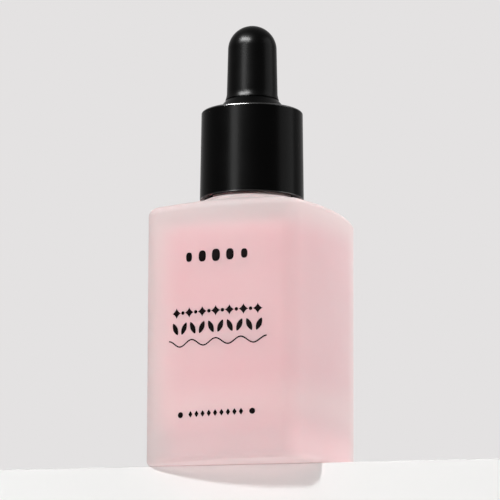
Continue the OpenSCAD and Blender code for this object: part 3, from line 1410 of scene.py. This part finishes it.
@dataclass
class Pipette:
    """Glass tube with a drawn tip.

    Attributes:
        wall: thickness of the tube.
        drawn_h: height of the drawn end, from the tip to the straight shank.
        nozzle_h: height of the straight nozzle at the tip.
        nozzle_r: radius of the nozzle.
        nozzle_bore_r: radius of its bore.
        shank_bend: radius of the bend from the shank to the drawn end.
        nozzle_bend: radius of the bend from the drawn end to the nozzle.
        arc_steps: steps of one bend or rounded edge.
        step: the furthest that one ring may be from the next.
        columns: points round one ring.
    """

    wall: float = 1.0
    drawn_h: float = 9.0
    nozzle_h: float = 1.5
    nozzle_r: float = 1.5
    nozzle_bore_r: float = 0.75
    shank_bend: float = 6.0
    nozzle_bend: float = 3.0
    arc_steps: int = 10
    step: float = 1.5
    columns: int = 96

    def profile(self) -> np.ndarray:
        """Sets out the tube: drawn tip, straight shank and fire-polished ends.

        Returns:
            Closed profile, as rows of radius and height.
        """
        tip, top, outer = bottom_z("pipette"), top_z("pipette"), outer_r("pipette")
        bore, shank_z, nozzle_z = outer - self.wall, tip + self.drawn_h, tip + self.nozzle_h
        corners = [
            (self.nozzle_bore_r, tip, 0.3),
            (self.nozzle_r, tip, 0.35),
            (self.nozzle_r, nozzle_z, self.nozzle_bend),
            (outer, shank_z, self.shank_bend),
            (outer, top, 0.45),
            (bore, top, 0.45),
            (bore, shank_z, self.shank_bend),
            (self.nozzle_bore_r, nozzle_z, self.nozzle_bend),
        ]
        return closed_profile(corners, self.step, self.arc_steps)

    def build(self) -> None:
        """Builds and dresses the pipette."""
        rings = revolve(self.profile(), self.columns)
        tube = make_piece("pipette_tube", [Skin(rings, Ends.LOOP)])
        dress(tube, "dropper", ["pipette"], CLEAR_TUBE)


@dataclass
class Dropper:
    """What is drawn out of the neck: the rubber bulb and the glass pipette that it grips."""

    bulb: Bulb = field(default_factory=Bulb)
    pipette: Pipette = field(default_factory=Pipette)

    def build(self) -> None:
        """Builds both pieces."""
        self.bulb.build()
        self.pipette.build()


# The closure and the seals


@dataclass
class CollarShell:
    """Smooth outer shell of the closure.

    Attributes:
        top_r: radius under the rounded top edge. The side drafts in to it from the rim.
        wall: thickness of the side.
        top_wall: thickness of the top.
        hole_r: radius of the turret that the hole fits over.
        highlight_rim: height of the edge at the rim that takes the shinier finish, a painted
            reflection.
        highlight_top: height of the edge at the top that takes it, a painted highlight.
        highlight_top: height of the rubbed edge at the top.
        step: the furthest that one ring may be from the next.
        columns: points round one ring.
    """

    top_r: float = 11.72
    wall: float = 1.1
    top_wall: float = 1.0
    hole_r: float = 6.0
    highlight_rim: float = 0.2
    highlight_top: float = 0.45
    step: float = 1.0
    columns: int = 256

    def profile(self) -> np.ndarray:
        """Sets out the shell: rim, drafted outside, rounded top edge, hole and inside.

        Returns:
            Closed profile, as rows of radius and height.
        """
        low, top, rim_r = bottom_z("collar_shell"), top_z("collar_shell"), outer_r("collar_shell")
        inner, ceiling = rim_r - self.wall, top - self.top_wall
        hole = self.hole_r + RUNNING_GAP
        corners = [
            (inner, low, 0.15),
            (rim_r, low, 0.15),
            (self.top_r, top, 0.5),
            (hole, top, 0.12),
            (hole, ceiling, 0.05),
            (inner, ceiling, 0.1),
        ]
        return closed_profile(corners, self.step)

    def build(self) -> None:
        """Builds and dresses the shell. The rings at its two outer edges take the shinier finish,
        which paints their highlights.
        """
        profile = self.profile()
        radius, z = profile.T
        # The two outer edges take the shinier finish, as painted highlights
        outside = radius > outer_r("collar_shell") - self.wall + TOUCH / 2
        at_rim = z < bottom_z("collar_shell") + self.highlight_rim
        at_top = z > top_z("collar_shell") - self.highlight_top
        skin = Skin(revolve(profile, self.columns), Ends.LOOP, outside & (at_rim | at_top))
        piece = make_piece("collar_satin_shell", [skin])
        dress(piece, "closure", ["collar_shell"], SATIN_SHELL, SHINY_EDGE_HIGHLIGHT)


@dataclass
class InnerClosure:
    """Threaded inner closure, which the shell is pressed over.

    Attributes:
        bore_r: radius of the bore that the thread stands in.
        plate: thickness of the plate that clamps the bulb's flange.
        hole_r: radius of the hole that the bulb passes through.
        turret_r: radius of the turret round that hole.
        skirt_inset: how far the skirt lies inside the node's largest radius.
        spline_count: how many splines key the skirt into the shell.
        spline_h: height of a spline over the skirt.
        spline_bias: cosine under zero at which a spline's flank starts.
        spline_slope: steepness of that flank.
        skirt_plain: height at the skirt's foot without splines.
        thread_turns: turns of the thread.
        thread_h: height of the thread over the bore.
        crest_w: width of the thread's crest.
        root_w: width of the thread's foot.
        arc_steps: steps of one rounded edge.
        step: step along the profile, fine enough to draw the thread.
        columns: points round one ring.
    """

    bore_r: float = 9.95
    plate: float = 1.4
    hole_r: float = 6.0
    turret_r: float = 7.3
    skirt_inset: float = 0.27
    spline_count: int = 36
    spline_h: float = 0.25
    spline_bias: float = 0.1
    spline_slope: float = 2.0
    skirt_plain: float = 1.0
    thread_turns: float = 2.0
    thread_h: float = 0.72
    crest_w: float = 0.5
    root_w: float = 1.4
    arc_steps: int = 4
    step: float = 0.18
    columns: int = 288

    @property
    def skirt_r(self) -> float:
        """Radius of the skirt between its splines."""
        return outer_r("inner_closure") - self.skirt_inset

    def profile(self) -> np.ndarray:
        """Sets out the closure: skirt, plate and turret.

        Returns:
            Closed profile, as rows of radius and height.
        """
        low, top = bottom_z("inner_closure"), top_z("inner_closure")
        plate_z = bottom_z("bulb") + FLANGE_T + FACE_GAP
        plate_top = plate_z + self.plate
        corners = [
            (self.bore_r, low, 0.15),
            (self.skirt_r, low, 0.2),
            (self.skirt_r, plate_top, 0.2),
            (self.turret_r, plate_top, 0.3),
            (self.turret_r, top, 0.15),
            (self.hole_r, top, 0.1),
            (self.hole_r, plate_z, 0.1),
            (self.bore_r, plate_z, 0.3),
        ]
        return closed_profile(corners, self.step, self.arc_steps)

    def relief(self, radius: np.ndarray, angle: np.ndarray, z: np.ndarray) -> np.ndarray:
        """Adds the thread inside the skirt and the splines outside it.

        The thread stands inwards, half a pitch under the neck's own. A spline is a smooth step of
        the cosine of the angle times their count.

        Args:
            radius: radii of the points.
            angle: their angles, in radians.
            z: their heights.

        Returns:
            What to add to each radius.
        """
        neck = neck_thread()
        start_z = neck.start_z - neck.pitch / 2
        thread = Thread(start_z, self.thread_turns, self.thread_h, self.crest_w, self.root_w)
        on_bore = np.abs(radius - self.bore_r) < TOUCH
        splined = z > bottom_z("inner_closure") + self.skirt_plain
        on_skirt = (np.abs(radius - self.skirt_r) < TOUCH) & splined
        wave = np.cos(self.spline_count * angle) + self.spline_bias
        spline = smooth_step(wave * self.spline_slope) * self.spline_h
        return np.where(on_bore, -thread.relief(angle, z), 0) + np.where(on_skirt, spline, 0)

    def build(self) -> None:
        """Builds and dresses the inner closure."""
        rings = revolve(self.profile(), self.columns, self.relief)
        piece = make_piece("closure_thread_cap", [Skin(rings, Ends.LOOP)])
        dress(piece, "closure", ["inner_closure"], PLAIN_CLOSURE)


@dataclass
class Closure:
    """What is turned by hand: the smooth shell and the threaded closure inside it."""

    shell: CollarShell = field(default_factory=CollarShell)
    inner: InnerClosure = field(default_factory=InnerClosure)

    def build(self) -> None:
        """Builds both pieces."""
        self.shell.build()
        self.inner.build()


@dataclass
class Seals:
    """Wiper plug in the neck and foam washer under the bulb.

    Attributes:
        wall: thickness of the plug.
        hole_r: radius of the hole in both, which the pipette slides through.
        bore_r: radius of the neck's bore, which the plug's ribs press on.
        plug_r: radius of the plug between its ribs.
        rib_heights: heights of the ribs over the plug's foot.
        rib_h: height of one rib.
        rib_slope: height of its sloped flank.
        plug_step: the furthest that one ring of the plug may be from the next.
        washer_step: the same for the washer.
        arc_steps: steps of one rounded corner.
        columns: points round one ring.
    """

    wall: float = 0.8
    hole_r: float = 3.58
    bore_r: float = 6.4
    plug_r: float = 6.25
    rib_heights: tuple[float, ...] = (2.4, 5.4)
    rib_h: float = 1.0
    rib_slope: float = 0.2
    plug_step: float = 0.8
    washer_step: float = 0.5
    arc_steps: int = 5
    columns: int = 128

    def wiper_profile(self) -> np.ndarray:
        """Sets out the plug: wiping hole, floor, ribs, flange and lead-in cone.

        Returns:
            Closed profile, as rows of radius and height.
        """
        foot, top, flange_r = bottom_z("neck_wiper"), top_z("neck_wiper"), outer_r("neck_wiper")
        lip, floor, inner = top - self.wall, foot + self.wall, self.plug_r - self.wall
        ribs = []
        for low in (foot + height for height in self.rib_heights):
            ribs += [
                (self.plug_r, low, 0.05),
                (self.bore_r, low + self.rib_slope, 0.1),
                (self.bore_r, low + self.rib_h - self.rib_slope, 0.1),
                (self.plug_r, low + self.rib_h, 0.05),
            ]
        corners = [
            (self.hole_r, foot, 0.1),
            (self.plug_r, foot, 0.3),
            *ribs,
            (self.plug_r, lip, 0.05),
            (flange_r, lip, 0.15),
            (flange_r, top, 0.25),
            (inner, top, 0.25),
            (inner, floor + inner - self.hole_r, 0.3),
            (self.hole_r, floor, 0.15),
        ]
        return closed_profile(corners, self.plug_step, self.arc_steps)

    def washer_profile(self) -> np.ndarray:
        """Sets out the foam washer, with soft die-cut edges.

        Returns:
            Closed profile, as rows of radius and height.
        """
        low, top, rim_r = bottom_z("gasket"), top_z("gasket"), outer_r("gasket")
        corners = [
            (self.hole_r, low, 0.1),
            (rim_r, low, 0.12),
            (rim_r, top, 0.2),
            (self.hole_r, top, 0.12),
        ]
        return closed_profile(corners, self.washer_step, self.arc_steps)

    def build(self) -> None:
        """Builds and dresses the plug and the washer."""
        rings = revolve(self.wiper_profile(), self.columns)
        plug = make_piece("wiper_plug", [Skin(rings, Ends.LOOP)])
        dress(plug, "bottle", ["neck_wiper"], WAXY_POLYETHYLENE)
        rings = revolve(self.washer_profile(), self.columns)
        washer = make_piece("foam_washer", [Skin(rings, Ends.LOOP)])
        dress(washer, "seal", ["gasket"], FOAM_WASHER)


# The studio


@dataclass(frozen=True)
class Softbox:
    """Area lamp.

    Attributes:
        name: its name.
        place: where it hangs, in metres.
        size: its width and height, in metres.
        watts: its power.
        aim: the point that it faces, in metres.
        shine_only: whether it shows in gloss and lights nothing else.
    """

    name: str
    place: tuple[float, float, float]
    size: tuple[float, float]
    watts: float
    aim: tuple[float, float, float] = (0.0, 0.0, 0.055)
    shine_only: bool = False

    def build(self) -> None:
        """Adds the lamp."""
        data = bpy.data.lights.new(self.name, "AREA")
        data.shape, data.energy = "RECTANGLE", self.watts
        data.size, data.size_y = self.size
        lamp = bpy.data.objects.new(self.name, data)
        lamp.location = self.place
        sight = Vector(self.aim) - Vector(self.place)
        lamp.rotation_euler = sight.to_track_quat("-Z", "Y").to_euler()
        lamp.visible_diffuse = lamp.visible_transmission = not self.shine_only
        bpy.context.scene.collection.objects.link(lamp)


@dataclass(frozen=True)
class Block:
    """Pale block with a soft front edge, which the bottle's near corner overhangs.

    Attributes:
        reach: how far it goes to either side.
        depth: how far it goes back.
        drop: its height.
        soft: radius of its front edge.
        turn: turn of its front edge from the bottle's front, in degrees.
        ahead: how far in front of the bottle's axis its front edge passes.
        arc_steps: steps of its round edge.
    """

    reach: float = 900.0
    depth: float = 1500.0
    drop: float = 90.0
    soft: float = 0.2
    turn: float = 12.9
    ahead: float = 11.8
    arc_steps: int = 6

    def build(self) -> None:
        """Carries its section, a rectangle with one round corner, straight along the front edge."""
        corners = [
            (0, -self.drop, 0), (self.depth, -self.drop, 0), (self.depth, 0, 0), (0, 0, self.soft)
        ]
        section = rounded(corners, closed=True, steps=self.arc_steps)
        along = np.array([-self.reach, -self.reach, self.reach, self.reach])[:, None]
        share = np.array([0, 1, 1, 0])[:, None, None]
        middle = section.mean(0)
        cut = middle + share * (section - middle)
        deep, z = cut[..., 0] - self.ahead, cut[..., 1]
        turn = math.radians(self.turn)
        x = along * math.cos(turn) - deep * math.sin(turn)
        y = along * math.sin(turn) + deep * math.cos(turn)
        block = make_piece("pale_block", [Skin(np.stack([x, y, z], -1), Ends.POLES)])
        block.data.materials.append(PAINTED_BLOCK.material())


@dataclass(frozen=True)
class Camera:
    """Camera at the photograph's viewing angle, below the base and turned to the near corner.

    Attributes:
        standoff: distance from the bottle's axis, in metres.
        drop: how far it stands below the base, in metres.
        side: how far it stands right of the line to the axis, in metres.
        azimuth: turn from the bottle's front, in degrees.
        tilt: tilt upwards, in degrees.
        roll: roll about its own line of sight, in degrees.
        focal_px: focal length, in pixels of the picture.
        picture_px: width of that picture.
        sensor_mm: width of the sensor.
        clip: nearest and furthest distance that it sees, in metres.
    """

    standoff: float = 1.0
    drop: float = 0.14235
    side: float = -0.00038
    azimuth: float = 23.409337
    tilt: float = 10.970423
    roll: float = 0.211994
    focal_px: float = 4425.5
    picture_px: float = 500.0
    sensor_mm: float = 36.0
    clip: tuple[float, float] = (0.05, 20.0)

    def build(self) -> None:
        """Places the camera.

        It stands off from the axis at the azimuth, then tilts up and rolls. The lens is the focal
        length in pixels times the sensor's width over the picture's.
        """
        data = bpy.data.cameras.new("camera")
        data.sensor_width = self.sensor_mm
        data.lens = self.focal_px * self.sensor_mm / self.picture_px
        data.clip_start, data.clip_end = self.clip
        turn = Matrix.Rotation(math.radians(self.azimuth), 4, "Z")
        place = Matrix.Translation(Vector((self.side, -self.standoff, -self.drop)))
        up = Matrix.Rotation(math.radians(90 + self.tilt), 4, "X")
        roll = Matrix.Rotation(math.radians(self.roll), 4, "Z")
        eye = bpy.data.objects.new("camera", data)
        eye.matrix_world = turn @ place @ up @ roll
        bpy.context.scene.collection.objects.link(eye)
        bpy.context.scene.camera = eye


@dataclass(frozen=True)
class Studio:
    """Camera, pale block, backdrop, even light and soft lamps.

    Attributes:
        camera: the camera.
        block: what the bottle stands on.
        backdrop: sRGB hex colour of what is behind it all.
        ambient_colour: colour of the even light.
        ambient: strength of the even light.
        lamps: the lamps.
    """

    camera: Camera = Camera()
    block: Block = Block()
    backdrop: str = "E4E2E2"
    ambient_colour: str = "FFFDFC"
    ambient: float = 0.345
    lamps: tuple[Softbox, ...] = (
        Softbox("key_softbox", (-0.14, -1.1, 0.6), (0.12, 0.12), 7.6),
        Softbox("fill_softbox", (1.1, 0.36, 0.3), (0.9, 1.5), 18.5),
        Softbox("bounce_card", (0.05, -0.16, -0.85), (0.4, 0.4), 4.4, (0.0, -0.02, 0.0)),
        Softbox("shine_softbox", (-0.237, -0.79, 0.827), (0.8, 0.26), 185.0, (0.0, 0.0, 0.095),
                shine_only=True),
        Softbox("shine_strip", (-0.289, -0.934, 0.286), (0.28, 0.3), 8.3, (0.0, 0.0, 0.075),
                shine_only=True),
    )

    def world(self) -> None:
        """Even soft light, and the backdrop for what the camera sees, also in gloss and glass."""
        world = bpy.data.worlds.new("studio")
        world.use_nodes = True
        tree = world.node_tree
        tree.nodes.clear()
        path = add(tree, "ShaderNodeLightPath")
        shown = path.outputs["Is Camera Ray"]
        for ray in ("Is Glossy Ray", "Is Transmission Ray"):
            shown = add(
                tree, "ShaderNodeMath", {"operation": "MAXIMUM"}, in_0=shown, in_1=path.outputs[ray]
            ).outputs[0]
        soft = add(
            tree, "ShaderNodeBackground", Color=linear(self.ambient_colour), Strength=self.ambient
        ).outputs[0]
        pale = add(
            tree, "ShaderNodeBackground", Color=linear(self.backdrop), Strength=1.0
        ).outputs[0]
        mix = add(tree, "ShaderNodeMixShader", in_0=shown, in_1=soft, in_2=pale).outputs[0]
        add(tree, "ShaderNodeOutputWorld", Surface=mix)
        bpy.context.scene.world = world

    def build(self) -> None:
        """Sets up the whole studio."""
        bpy.context.scene.view_settings.view_transform = "Standard"
        self.camera.build()
        self.block.build()
        self.world()
        for lamp in self.lamps:
            lamp.build()


def main() -> None:
    """Builds the studio and every piece."""
    logging.basicConfig(level=logging.INFO, format="%(name)s: %(message)s")
    Studio().build()
    bottle = GlassBottle()
    bottle.build()
    Remover(bottle).build()
    FrontPrint(InkLayer(bottle.outer)).build()
    Dropper().build()
    Closure().build()
    Seals().build()


if __name__ == "__main__":
    main()
